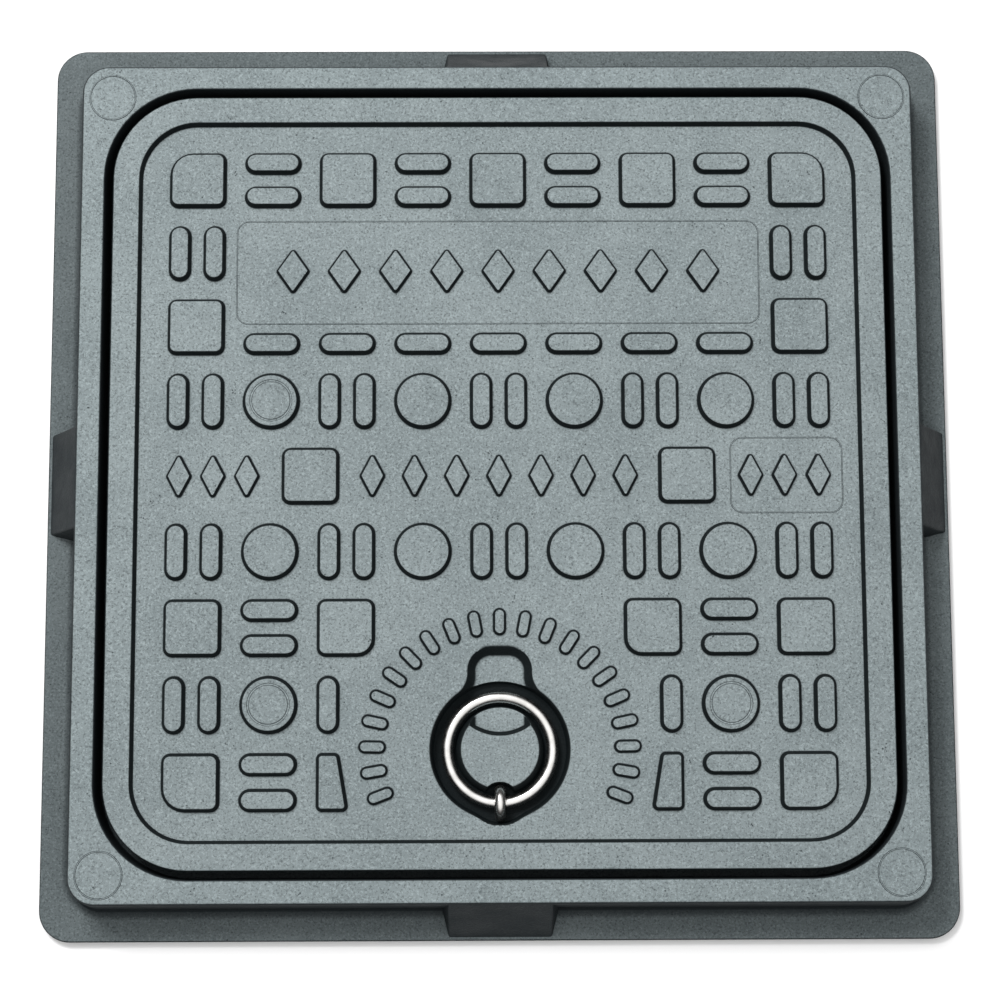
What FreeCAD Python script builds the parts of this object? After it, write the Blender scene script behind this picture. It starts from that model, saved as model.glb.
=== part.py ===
"""Square glass-fibre inspection cover and frame with a recessed lifting ring.

The frame is bedded in the ground and the cover drops into it onto a rubber seal.
A steel ring lies in a keyhole recess of the cover, held by a threaded U staple
whose legs pass through the cover to a backing plate, spring washers and nuts.

Origin: centre of the frame's underside. +Z is up and the lifting ring is at -Y.
All lengths are millimetres and all angles are degrees.
"""
import FreeCAD, Part
import math
import os

import Sketcher
from FreeCAD import Vector

SIZES = (
    # Frame
    ("clear_opening", 300, "width of the clear way through the frame"),
    ("clear_corner", 24, "corner radius of the clear way"),
    ("seat_width", 14.5, "width of the seat that carries the cover"),
    ("seat_thickness", 11.5, "height of the seat above the frame's underside"),
    ("collar_wall", 10, "thickness of the upright collar at its top"),
    ("collar_corner", 11, "outer corner radius of the collar"),
    ("collar_draft", 5, "mould draft of the collar's outer wall"),
    ("collar_root_round", 3, "fillet between collar and flange"),
    ("flange_width", 15.5, "how far the base flange stands out from the collar"),
    ("flange_corner", 13, "corner radius of the flange"),
    ("flange_thickness", 5, "thickness of the flange"),
    ("edge_round", 1, "rounding of the moulded top edges"),
    ("gusset_width", 42.5, "width of the wedge in the middle of each side"),
    ("gusset_spread", 5, "how much wider each flank of a wedge is at its foot"),
    ("gusset_toe_spread", 0.2, "the same at the edge of the flange"),
    ("gusset_toe", 2, "height of a wedge at the edge of the flange"),
    ("core_skin", 5, "thickness left between the cored cells and the seal groove"),
    ("core_wall", 4, "thickness of the ribs and walls between the cored cells"),
    ("core_corner", 2, "corner radius of the cored cells"),
    ("core_count", 10, "number of cored cells along each side"),
    # Seal
    ("seal_width", 8, "width of the flat rubber seal"),
    ("seal_thickness", 3, "thickness of the seal"),
    ("seal_groove_depth", 1.5, "how deep the seal sits in the frame's seat"),
    ("seal_clearance", 0.3, "side clearance of the seal in its groove"),
    # Cover
    ("cover_gap", 3.3, "gap between cover and frame all round"),
    ("cover_corner", 35, "corner radius of the cover"),
    ("cover_thickness", 18, "thickness of the cover at its rim"),
    ("rim_width", 11.2, "width of the flush rim round the sunken field"),
    ("field_corner", 24, "corner radius of the sunken field"),
    ("tread_height", 3, "height of the treads, which end level with the rim"),
    ("tread_draft", 18, "mould draft of the treads"),
    ("tread_margin", 12.7, "field left between the outer treads and the rim"),
    ("tread_size", 23.4, "width of a tread at its foot"),
    ("tread_corner", 3.5, "corner radius of a square tread"),
    ("tread_outer_corner", 9.5, "large radius of the treads in the cover's corners"),
    ("tread_cut_corner", 7, "large radius of the treads that face the keyhole"),
    ("pill_width", 9, "width of a pill-shaped tread at its foot"),
    ("wedge_tread_width", 13, "width of the wedge-shaped treads at their wide end"),
    ("wedge_tread_corner", 2.2, "corner radius of the wedge-shaped treads"),
    ("middle_square_place", 77.7, "distance of the middle row's squares from the centre"),
    ("mark_height", 2, "height of the plain lozenges and of the dial round the keyhole"),
    ("lozenge_length", 20, "length of a lozenge"),
    ("lozenge_corner", 1, "corner radius of a lozenge"),
    ("panel_lozenge_width", 14, "width of a lozenge in the panel"),
    ("panel_lozenge_pitch", 21.4, "pitch of the lozenges in the panel"),
    ("panel_row_place", 86.5, "distance of the panel's lozenges from the centre"),
    ("row_lozenge_width", 10.5, "width of a lozenge in the middle row"),
    ("row_lozenge_pitch", 17.4, "pitch of the lozenges in the middle of the middle row"),
    ("side_lozenge_pitch", 14, "pitch of the lozenges at the ends of the middle row"),
    ("side_lozenge_place", 118, "distance of those lozenges from the centre"),
    ("dial_distance", 23.8, "distance of the dial's middle line from the recess"),
    ("dial_pill_length", 11, "length of a pill of the dial"),
    ("dial_pill_width", 5, "width of a pill of the dial"),
    ("dial_pill_count", 21, "number of pills of the dial"),
    ("dial_sweep", 222, "angle that the dial spans"),
    ("cell_depth", 10, "depth of the cells between the ribs under the cover"),
    ("cell_count", 9, "number of cells across the cover"),
    ("cell_corner", 3, "corner radius of the cells"),
    ("rib_thickness", 4, "thickness of the ribs under the cover"),
    ("rim_wall", 10, "width of the bearing band under the cover's rim"),
    # Keyhole recess
    ("hinge_edge_distance", 16, "distance of the ring's hinge from the field's edge"),
    ("recess_clearance", 4.8, "gap between the ring and the recess's edge"),
    ("recess_lean", 1.8, "how much the recess's wall leans in towards its floor"),
    ("floor_clearance", 0.8, "gap between the ring and the groove's floor"),
    ("island_clearance", 2.9, "gap between the ring and the island's top edge"),
    ("island_lean", 2, "how much the island widens towards the groove's floor"),
    ("island_drop", 1, "how far the island's top lies below the field"),
    ("slot_width", 26.2, "width of the finger slot at the field"),
    ("slot_corner", 9.5, "corner radius of the slot's far end"),
    ("slot_depth", 5.5, "depth of the finger slot below the field"),
    ("slot_draft", 28, "slope of the slot's walls"),
    ("finger_room", 17.8, "length of the slot beyond the ring"),
    ("scoop_room", 13.6, "length of the scoop inside the ring"),
    ("scoop_bow", 4.6, "how far the scoop's end bows out"),
    ("well_clearance", 0.75, "gap between the staple and the well around it"),
    # Ring and its staple
    ("ring_radius", 21.5, "radius of the ring to the middle of its wire"),
    ("ring_wire", 4.8, "wire diameter of the ring"),
    ("staple_wire", 4.5, "wire diameter of the staple, rolled to an M5 thread"),
    ("staple_clearance", 0.65, "clearance between ring wire and staple"),
    ("staple_sink", 0.45, "how far the staple's top lies below the walking surface"),
    ("leg_clearance", 0.25, "radial clearance of a leg in the cover and the plate"),
    ("leg_stick_out", 2, "length of leg below each nut"),
    ("plate_length", 30, "length of the backing plate"),
    ("plate_margin", 0.6, "width of plate beyond the washers"),
    ("plate_corner", 3, "corner radius of the backing plate"),
    ("plate_thickness", 2, "thickness of the backing plate"),
    ("plate_clearance", 0.6, "side clearance of the plate in its pocket"),
    ("plate_pocket_depth", 3, "depth of the plate's pocket under the cover"),
    ("washer_band", 2.35, "width of a spring washer's band"),
    ("washer_thickness", 1.2, "thickness of a spring washer"),
    ("washer_slit", 0.9, "width of a spring washer's slit"),
    ("washer_slant", 0.6, "how far a washer's slit leans across half its thickness"),
    ("nut_wall", 1.75, "thickness of a nut between its thread and its flats"),
    ("nut_height", 4, "height of a nut"),
    ("nut_chamfer", 30, "angle to which a nut's corners are turned off"),
    ("thread_clearance", 0.05, "radial clearance of washers and nuts on a leg"),
)

DERIVED = (
    ("opening_size", "clear_opening + 2 * seat_width"),
    ("opening_corner", "cover_corner + cover_gap"),
    ("collar_size", "opening_size + 2 * collar_wall"),
    ("flange_size", "collar_size + 2 * flange_width"),
    ("cover_base", "seat_thickness + seal_thickness - seal_groove_depth"),
    ("frame_height", "cover_base + cover_thickness"),
    ("seat_depth", "frame_height - seat_thickness"),
    ("core_depth", "seat_thickness - seal_groove_depth - core_skin"),
    ("gusset_top", "frame_height - edge_round"),
    ("cover_size", "opening_size - 2 * cover_gap"),
    ("field_size", "cover_size - 2 * rim_width"),
    ("field_level", "frame_height - tread_height"),
    ("tread_pitch", "(field_size / 2 - tread_margin - tread_size / 2) / 4"),
    ("seal_base", "seat_thickness - seal_groove_depth"),
    ("seal_size", "(clear_opening + cover_size) / 2 + seal_width"),
    ("seal_corner", "opening_corner - (opening_size - seal_size) / 2"),
    ("ring_wire_radius", "ring_wire / 2"),
    ("leg_radius", "staple_wire / 2"),
    ("staple_bend", "ring_wire_radius + staple_clearance + leg_radius"),
    ("hinge_depth", "staple_bend + leg_radius + staple_sink"),
    ("hinge_level", "frame_height - hinge_depth"),
    ("hinge_distance", "field_size / 2 - hinge_edge_distance"),
    ("ring_distance", "hinge_distance - ring_radius"),
    ("groove_floor", "hinge_level - ring_wire_radius - floor_clearance"),
    ("recess_depth", "field_level - groove_floor"),
    ("recess_radius", "ring_radius + ring_wire_radius + recess_clearance"),
    ("recess_floor_radius", "recess_radius - recess_lean"),
    ("island_radius", "ring_radius - ring_wire_radius - island_clearance"),
    ("island_floor_radius", "island_radius + island_lean"),
    ("island_top", "field_level - island_drop"),
    ("ring_far_side", "hinge_distance - 2 * ring_radius"),
    ("slot_end", "ring_far_side - ring_wire_radius - finger_room"),
    ("scoop_end", "ring_far_side + ring_wire_radius + scoop_room"),
    ("well_radius", "staple_bend + leg_radius + well_clearance"),
    ("washer_radius", "leg_radius + washer_band"),
    ("nut_flats", "2 * (leg_radius + nut_wall)"),
    ("plate_width", "2 * (staple_bend + washer_radius + plate_margin)"),
    ("plate_top", "cover_base + plate_pocket_depth"),
    ("plate_base", "plate_top - plate_thickness"),
    ("washer_base", "plate_base - washer_thickness"),
    ("nut_base", "washer_base - nut_height"),
    ("leg_end", "nut_base - leg_stick_out"),
)

doc = FreeCAD.newDocument("InspectionCover")
sheet = doc.addObject("Spreadsheet::Sheet", "Sizes")


def fill_sheet():
    """Write the driving sizes as plain numbers and the worked-out ones as formulas."""
    rows = [(name, str(value), note) for name, value, note in SIZES]
    rows += [(name, "=" + formula, "worked out") for name, formula in DERIVED]
    for row, (name, content, note) in enumerate(rows, start=1):
        sheet.set(f"A{row}", name)
        sheet.set(f"B{row}", content)
        sheet.setAlias(f"B{row}", name)
        sheet.set(f"C{row}", note)
    doc.recompute()


def size(name):
    """Value of a sheet cell as a plain number."""
    return float(sheet.get(name))


def with_cells(formula):
    """Formula with each size's name pointing at its cell of the sheet."""
    names = {name for name, *_ in SIZES + DERIVED}
    return " ".join("Sizes." + word if word in names else word for word in formula.split(" "))


def bind(thing, prop, formula):
    """Tie a property to the sheet."""
    thing.setExpression(prop, with_cells(formula))


def new_body(label):
    body = doc.addObject("PartDesign::Body", label)
    body.Label = label
    return body


def new_sketch(body, name, level="0", role="XY_Plane"):
    """Sketch on one of the body's origin planes, moved along the plane's normal to a level."""
    sketch = body.newObject("Sketcher::SketchObject", name)
    plane = next(item for item in body.Origin.OriginFeatures if item.Role == role)
    sketch.AttachmentSupport = [(plane, "")]
    sketch.MapMode = "FlatFace"
    bind(sketch, "AttachmentOffset.Base.z", level)
    return sketch


def drive(sketch, index, name, formula):
    """Name a dimension of a sketch and tie it to the sheet."""
    sketch.renameConstraint(index, name)
    bind(sketch, "Constraints." + name, formula)


def add_rounded_square(sketch, width_name, corner_name, depth_name=None):
    """Rectangle with round corners about the sketch's origin, driven by cells of the sheet."""
    depth_name = depth_name or width_name
    corner = size(corner_name)
    reach = Vector(size(width_name) / 2, size(depth_name) / 2, 0)
    inner = reach - Vector(corner, corner, 0)
    turns = ((1, -1), (1, 1), (-1, 1), (-1, -1))
    lines = []
    arcs = []
    for turn, (sx, sy) in enumerate(turns):
        centre = Vector(sx * inner.x, sy * inner.y, 0)
        start_angle = math.radians(90 * turn - 90)
        across = Vector(math.cos(start_angle), math.sin(start_angle), 0) * corner
        before = turns[turn - 1]
        line_start = Vector(before[0] * inner.x, before[1] * inner.y, 0) + across
        line = Part.LineSegment(line_start, centre + across)
        circle = Part.Circle(centre, Vector(0, 0, 1), corner)
        arc = Part.ArcOfCircle(circle, start_angle, start_angle + math.pi / 2)
        lines.append(sketch.addGeometry(line))
        arcs.append(sketch.addGeometry(arc))
    for turn in range(4):
        following = lines[(turn + 1) % 4]
        sketch.addConstraint(Sketcher.Constraint("Tangent", lines[turn], 2, arcs[turn], 1))
        sketch.addConstraint(Sketcher.Constraint("Tangent", arcs[turn], 2, following, 1))
        kind = "Horizontal" if turn % 2 == 0 else "Vertical"
        sketch.addConstraint(Sketcher.Constraint(kind, lines[turn]))
    for arc in arcs[1:]:
        sketch.addConstraint(Sketcher.Constraint("Equal", arcs[0], arc))
    sketch.addConstraint(Sketcher.Constraint("Symmetric", arcs[0], 3, arcs[2], 3, -1, 1))
    tag = f"outline{lines[0]}"
    index = sketch.addConstraint(
        Sketcher.Constraint("DistanceX", lines[3], 1, lines[1], 1, 2 * reach.x))
    drive(sketch, index, tag + "_width", width_name)
    index = sketch.addConstraint(
        Sketcher.Constraint("DistanceY", lines[0], 1, lines[2], 1, 2 * reach.y))
    drive(sketch, index, tag + "_depth", depth_name)
    index = sketch.addConstraint(Sketcher.Constraint("Radius", arcs[0], corner))
    drive(sketch, index, tag + "_corner", corner_name)


def add_circle(sketch, radius_formula, along_formula="0"):
    """Circle on the sketch's vertical axis, its centre at a driven distance below the origin."""
    radius = float(sketch.evalExpression(with_cells(radius_formula)))
    along = float(sketch.evalExpression(with_cells(along_formula)))
    centre = Vector(0, -along, 0)
    circle = sketch.addGeometry(Part.Circle(centre, Vector(0, 0, 1), radius))
    index = sketch.addConstraint(Sketcher.Constraint("Radius", circle, radius))
    drive(sketch, index, f"circle{circle}_radius", radius_formula)
    if along == 0:
        sketch.addConstraint(Sketcher.Constraint("Coincident", circle, 3, -1, 1))
        return
    sketch.addConstraint(Sketcher.Constraint("PointOnObject", circle, 3, -2))
    index = sketch.addConstraint(
        Sketcher.Constraint("DistanceY", circle, 3, -1, 1, along))
    drive(sketch, index, f"circle{circle}_distance", along_formula)


def add_polygon(sketch, points):
    """Closed straight-sided outline through the points."""
    corners = [Vector(x, y, 0) for x, y in points]
    for here, following in zip(corners, corners[1:] + corners[:1]):
        sketch.addGeometry(Part.LineSegment(here, following))


def add_round_polygon(sketch, points, radii):
    """Closed outline through the points, each corner rounded by its own radius."""
    corners = [Vector(x, y, 0) for x, y in points]
    count = len(corners)
    entries = []
    for i, radius in enumerate(radii):
        inward = (corners[i - 1] - corners[i]).normalize()
        outward = (corners[(i + 1) % count] - corners[i]).normalize()
        half_angle = inward.getAngle(outward) / 2
        back = radius / math.tan(half_angle)
        start = corners[i] + inward * back
        end = corners[i] + outward * back
        bisector = (inward + outward).normalize()
        centre = corners[i] + bisector * (radius / math.sin(half_angle))
        middle = centre - bisector * radius
        entries.append((start, middle, end))
    for i, (start, middle, end) in enumerate(entries):
        following = entries[(i + 1) % count][0]
        sketch.addGeometry(Part.Arc(start, middle, end))
        if end.distanceToPoint(following) > 1e-4:
            sketch.addGeometry(Part.LineSegment(end, following))


def add_box_outline(sketch, centre, width, depth, radii):
    """Rectangle about a centre; the radii run anticlockwise from its lower left corner."""
    x, y = centre
    points = [(x + sx * width / 2, y + sy * depth / 2)
              for sx, sy in ((-1, -1), (1, -1), (1, 1), (-1, 1))]
    add_round_polygon(sketch, points, radii)


def add_pill(sketch, centre, width, depth):
    """Upright or lying outline with two straight sides and two half-round ends."""
    half_width = min(width, depth) / 2
    reach = max(width, depth) / 2 - half_width
    along = Vector(1, 0, 0) if width > depth else Vector(0, 1, 0)
    add_pill_along(sketch, Vector(*centre, 0), along, reach, half_width)


def add_pill_along(sketch, middle, along, reach, half_width):
    """Pill outline about a middle, its end arcs' centres a reach away along a direction."""
    across = Vector(-along.y, along.x, 0)
    for sign in (1, -1):
        end = middle + along * (sign * reach)
        side = across * (sign * half_width)
        tip = end + along * (sign * half_width)
        sketch.addGeometry(Part.Arc(end - side, tip, end + side))
        sketch.addGeometry(Part.LineSegment(end + side, end + side - along * (2 * sign * reach)))


def pad(body, sketch, length, down=False, draft=None):
    """Raise a sketch by a driven length; a positive draft widens it on the way."""
    feature = body.newObject("PartDesign::Pad", sketch.Name + "_pad")
    feature.Profile = sketch
    feature.Reversed = down
    bind(feature, "Length", length)
    if draft:
        bind(feature, "TaperAngle", draft)
    sketch.Visibility = False
    doc.recompute()
    return feature


def pocket(body, sketch, length, up=False, draft=None):
    """Cut a sketch down, or up, by a driven length, and make sure that it cut something.

    A positive draft widens the cut on the way.
    """
    before = body.Shape.Volume
    feature = body.newObject("PartDesign::Pocket", sketch.Name + "_pocket")
    feature.Profile = sketch
    feature.Reversed = up
    bind(feature, "Length", length)
    if draft:
        bind(feature, "TaperAngle", draft)
    doc.recompute()
    if body.Shape.Volume > before - 1e-3:
        raise RuntimeError(feature.Name + " cut nothing")
    return feature


def cut_outline(body, name, width, corner, level, length):
    """Straight pocket with a round-cornered square outline, cut down from a level."""
    sketch = new_sketch(body, name, level)
    add_rounded_square(sketch, width, corner)
    return pocket(body, sketch, length)


def round_edges(body, radius, wanted):
    """Fillet the edges of the body's shape that the wanted test picks."""
    base = body.Tip
    names = [f"Edge{i}" for i, edge in enumerate(base.Shape.Edges, start=1) if wanted(edge)]
    fillet = body.newObject("PartDesign::Fillet", base.Name + "_round")
    fillet.Base = (base, names)
    bind(fillet, "Radius", radius)
    doc.recompute()
    return fillet


def flat_at(edge, level):
    """True for an edge that lies wholly at a level."""
    box = edge.BoundBox
    return abs(box.ZMin - level) < 1e-3 and abs(box.ZMax - level) < 1e-3


def reach_of(edge):
    """Distance of an edge's middle from the origin along X or Y, whichever is more."""
    middle = edge.valueAt((edge.FirstParameter + edge.LastParameter) / 2)
    return max(abs(middle.x), abs(middle.y))


def make_frame():
    body = new_body("frame")
    flange = new_sketch(body, "flange")
    add_rounded_square(flange, "flange_size", "flange_corner")
    pad(body, flange, "flange_thickness")
    collar = new_sketch(body, "collar", "frame_height")
    add_rounded_square(collar, "collar_size", "collar_corner")
    pad(body, collar, "frame_height", down=True, draft="collar_draft")

    thickness = size("flange_thickness")
    limit = size("flange_size") / 2 - 0.5
    round_edges(body, "collar_root_round",
                lambda edge: flat_at(edge, thickness) and reach_of(edge) < limit)
    top = size("frame_height")
    round_edges(body, "edge_round", lambda edge: flat_at(edge, top))

    cut_outline(body, "cover_opening", "opening_size", "opening_corner",
                "frame_height", "seat_depth")
    cut_outline(body, "clear_way", "clear_opening", "clear_corner",
                "frame_height", "frame_height")
    groove = new_sketch(body, "seal_groove", "seat_thickness")
    add_seal_outlines(groove, size("seal_clearance"))
    pocket(body, groove, "seal_groove_depth")
    add_gussets(body)
    core_frame(body)
    return body


def add_seal_outlines(sketch, margin):
    """Outer and inner outline of the seal, grown by a margin on both sides."""
    for inset in (-margin, size("seal_width") + margin):
        side = size("seal_size") - 2 * inset
        add_box_outline(sketch, (0, 0), side, side, [size("seal_corner") - inset] * 4)


def add_gussets(body):
    """Wedges that brace the collar in the middle of each side, and their bevelled toes."""
    half = size("gusset_width") / 2
    spread = size("gusset_spread")
    toe = size("gusset_toe")
    inner = size("collar_size") / 2
    outer = size("flange_size") / 2
    root = (inner + size("opening_size") / 2) / 2
    profiles = []
    for name, distance, level, foot in (("gusset_root", root, size("gusset_top"), spread),
                                        ("gusset_head", inner, size("gusset_top"), spread),
                                        ("gusset_toe", outer, toe, size("gusset_toe_spread"))):
        sketch = new_sketch(body, name + "_outline", str(distance), "XZ_Plane")
        add_polygon(sketch, ((-half - foot, 0), (half + foot, 0), (half, level), (-half, level)))
        profiles.append(sketch)
    wedge = body.newObject("PartDesign::AdditiveLoft", "gusset")
    wedge.Profile = profiles[0]
    wedge.Sections = profiles[1:]
    wedge.Ruled = True
    doc.recompute()
    four_round(body, wedge)

    rise = (size("gusset_top") - toe) / (outer - inner)
    bevel = new_sketch(body, "gusset_bevel", "0", "YZ_Plane")
    crown = size("flange_thickness") + 1
    meet = outer - (crown - toe) / rise
    add_polygon(bevel, ((-outer - 1, toe - rise), (-meet, crown), (-outer - 1, crown)))
    cut = body.newObject("PartDesign::Pocket", "gusset_bevel_pocket")
    cut.Profile = bevel
    cut.Midplane = True
    bind(cut, "Length", "gusset_width")
    doc.recompute()
    four_round(body, cut)


def four_round(body, feature):
    """Repeat a feature on the four sides."""
    pattern = body.newObject("PartDesign::PolarPattern", feature.Name + "_sides")
    pattern.Originals = [feature]
    axis = next(item for item in body.Origin.OriginFeatures if item.Role == "Z_Axis")
    pattern.Axis = (axis, [""])
    pattern.Angle = 360
    pattern.Occurrences = 4
    body.Tip = pattern
    doc.recompute()


def core_frame(body):
    """Cells under the seat, between ribs, so that the moulding keeps an even wall."""
    wall = size("core_wall")
    count = int(size("core_count"))
    inner = size("clear_opening") / 2 + wall
    outer = size("collar_size") / 2 - wall
    straight = 2 * (size("clear_opening") / 2 - size("clear_corner"))
    pitch = straight / count
    cells = new_sketch(body, "seat_cores")
    middle = (inner + outer) / 2
    for turn in range(4):
        for i in range(count):
            along = (i - (count - 1) / 2) * pitch
            spot = ((along, middle), (middle, along), (along, -middle), (-middle, along))[turn]
            sides = (pitch - wall, outer - inner)
            width, depth = sides if turn % 2 == 0 else sides[::-1]
            add_box_outline(cells, spot, width, depth, [size("core_corner")] * 4)
    pocket(body, cells, "core_depth", up=True)


def make_seal():
    body = new_body("cover_seal")
    sketch = new_sketch(body, "seal_outline", "seal_base")
    add_seal_outlines(sketch, 0)
    pad(body, sketch, "seal_thickness")
    return body


def make_cover():
    body = new_body("cover")
    outline = new_sketch(body, "cover_outline", "frame_height")
    add_rounded_square(outline, "cover_size", "cover_corner")
    pad(body, outline, "cover_thickness", down=True)
    top = size("frame_height")
    round_edges(body, "edge_round", lambda edge: flat_at(edge, top))
    field = new_sketch(body, "field", "frame_height")
    add_rounded_square(field, "field_size", "field_corner")
    pocket(body, field, "tread_height", draft="0 - tread_draft")
    for name, fill in (("square_treads", add_square_treads), ("round_treads", add_round_treads),
                       ("pill_treads", add_pill_treads)):
        treads = new_sketch(body, name, "field_level")
        fill(treads)
        pad(body, treads, "tread_height", draft="0 - tread_draft")
    marks = new_sketch(body, "lozenges", "field_level")
    add_lozenges(marks)
    pad(body, marks, "mark_height", draft="0 - tread_draft")
    cut_keyhole(body)
    cut_underside(body)
    return body


def at_grid(column, row):
    """Place of a tread from its column and row, counted from the middle of the cover."""
    return (column * size("tread_pitch"), row * size("tread_pitch"))


def pill_shift():
    """How far each pill of a pair stands from the pair's middle."""
    return (size("tread_size") - size("pill_width")) / 2


def add_square_treads(sketch):
    """Square treads; those nearest the corners and the keyhole have one large corner radius."""
    side = size("tread_size")
    small = size("tread_corner")
    spots = [at_grid(column, 4) for column in (-2, 0, 2)]
    spots += [at_grid(column, row) for row in (-2, 2) for column in (-4, 4)]
    spots += [(sign * size("middle_square_place"), 0) for sign in (-1, 1)]
    for spot in spots:
        add_box_outline(sketch, spot, side, side, [small] * 4)
    large = size("tread_outer_corner")
    cut = size("tread_cut_corner")
    uneven = [(column, row, corner, large)
              for corner, (column, row) in enumerate(((-4, -4), (4, -4), (4, 4), (-4, 4)))]
    uneven += [(-2, -2, 1, cut), (2, -2, 0, cut)]
    for column, row, corner, radius in uneven:
        radii = [radius if i == corner else small for i in range(4)]
        add_box_outline(sketch, at_grid(column, row), side, side, radii)
    for sign in (-1, 1):
        add_wedge_tread(sketch, sign)


def add_wedge_tread(sketch, sign):
    """Tread beside the keyhole, wider at its lower end, on the left (-1) or right (1)."""
    x, y = at_grid(2 * sign, -4)
    half = size("tread_size") / 2
    outer = x + sign * half
    head = outer - sign * size("pill_width")
    foot = outer - sign * size("wedge_tread_width")
    points = [(outer, y - half), (outer, y + half), (head, y + half), (foot, y - half)]
    if sign < 0:
        points.reverse()
    add_round_polygon(sketch, points, [size("wedge_tread_corner")] * 4)


def add_round_treads(sketch):
    radius = size("tread_size") / 2
    spots = [(column, row) for row in (-1, 1) for column in (-3, -1, 1, 3)]
    spots += [(-3, -3), (3, -3)]
    for column, row in spots:
        x, y = at_grid(column, row)
        sketch.addGeometry(Part.Circle(Vector(x, y, 0), Vector(0, 0, 1), radius))


def add_pill_treads(sketch):
    """Pairs and singles of pill-shaped treads between the other treads."""
    length = size("tread_size")
    width = size("pill_width")
    shift = pill_shift()
    upright = [(column, row) for row in (-1, 1) for column in (-4, -2, 0, 2, 4)]
    upright += [(column, row) for row in (-3, 3) for column in (-4, 4)]
    for column, row in upright:
        x, y = at_grid(column, row)
        for sign in (-1, 1):
            add_pill(sketch, (x + sign * shift, y), width, length)
    lying = [(column, 4) for column in (-3, -1, 1, 3)]
    lying += [(column, row) for row in (-2, -4) for column in (-3, 3)]
    for column, row in lying:
        x, y = at_grid(column, row)
        for sign in (-1, 1):
            add_pill(sketch, (x, y + sign * shift), length, width)
    for column in range(-3, 4):
        x, y = at_grid(column, 2)
        add_pill(sketch, (x, y - shift), length, width)
    for sign in (-1, 1):
        x, y = at_grid(2 * sign, -3)
        add_pill(sketch, (x + sign * shift, y), width, length)


def add_lozenges(sketch):
    """Plain lozenges in the panel and the middle row, and the dial round the keyhole."""
    row_width = size("row_lozenge_width")
    rows = [(9, 0, size("panel_row_place"), size("panel_lozenge_pitch"),
             size("panel_lozenge_width")),
            (7, 0, 0, size("row_lozenge_pitch"), row_width)]
    rows += [(3, sign * size("side_lozenge_place"), 0, size("side_lozenge_pitch"), row_width)
             for sign in (-1, 1)]
    half = size("lozenge_length") / 2
    for count, middle, y, pitch, width in rows:
        for i in range(count):
            x = middle + (i - (count - 1) / 2) * pitch
            points = ((x, y - half), (x + width / 2, y), (x, y + half), (x - width / 2, y))
            add_round_polygon(sketch, points, [size("lozenge_corner")] * 4)
    add_dial(sketch)


def add_dial(sketch):
    """Short pills that stand round the keyhole like the marks of a dial."""
    count = int(size("dial_pill_count"))
    radius = size("recess_radius") + size("dial_distance")
    half_width = size("dial_pill_width") / 2
    reach = size("dial_pill_length") / 2 - half_width
    centre = Vector(0, -size("ring_distance"), 0)
    step = size("dial_sweep") / (count - 1)
    for i in range(count):
        angle = math.radians(90 + (i - (count - 1) / 2) * step)
        along = Vector(math.cos(angle), math.sin(angle), 0)
        add_pill_along(sketch, centre + along * radius, along, reach, half_width)


def cut_keyhole(body):
    """Ring groove with its island, finger slot, staple well and the legs' holes."""
    section = new_sketch(body, "ring_groove", "ring_distance", "XZ_Plane")
    field_level = size("field_level")
    floor = size("groove_floor")
    over = size("tread_height")
    island_top = size("island_top")
    add_polygon(section, ((0, field_level + over), (size("recess_radius"), field_level + over),
                          (size("recess_radius"), field_level),
                          (size("recess_floor_radius"), floor),
                          (size("island_floor_radius"), floor),
                          (size("island_radius"), island_top), (0, island_top)))
    before = body.Shape.Volume
    groove = body.newObject("PartDesign::Groove", "ring_groove_turned")
    groove.Profile = section
    groove.ReferenceAxis = (section, ["V_Axis"])
    groove.Angle = 360
    doc.recompute()
    if body.Shape.Volume > before - 1:
        raise RuntimeError("the ring groove cut nothing")

    slot = new_sketch(body, "finger_slot", "field_level")
    add_slot_outline(slot)
    pocket(body, slot, "slot_depth", draft="0 - slot_draft")
    well = new_sketch(body, "staple_well", "field_level")
    add_circle(well, "well_radius", "hinge_distance")
    pocket(body, well, "recess_depth")
    holes = new_sketch(body, "leg_holes", "field_level")
    add_circle(holes, "leg_radius + leg_clearance", "hinge_distance - staple_bend")
    add_circle(holes, "leg_radius + leg_clearance", "hinge_distance + staple_bend")
    pocket(body, holes, "cover_thickness")


def add_slot_outline(sketch):
    """Finger slot: a round-cornered far end, straight sides and a bowed scoop end."""
    half = size("slot_width") / 2
    corner = size("slot_corner")
    far = -size("slot_end")
    near = -size("scoop_end") + size("scoop_bow")
    left = Vector(-half, near, 0)
    right = Vector(half, near, 0)
    shoulder = far - corner
    top_left = Vector(-half + corner, far, 0)
    top_right = Vector(half - corner, far, 0)
    bend = corner * math.sqrt(0.5)
    sketch.addGeometry(Part.Arc(left, Vector(0, near - size("scoop_bow"), 0), right))
    sketch.addGeometry(Part.LineSegment(right, Vector(half, shoulder, 0)))
    right_middle = Vector(half - corner + bend, far - corner + bend, 0)
    sketch.addGeometry(Part.Arc(Vector(half, shoulder, 0), right_middle, top_right))
    sketch.addGeometry(Part.LineSegment(top_right, top_left))
    left_middle = Vector(-half + corner - bend, far - corner + bend, 0)
    sketch.addGeometry(Part.Arc(top_left, left_middle, Vector(-half, shoulder, 0)))
    sketch.addGeometry(Part.LineSegment(Vector(-half, shoulder, 0), left))


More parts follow.
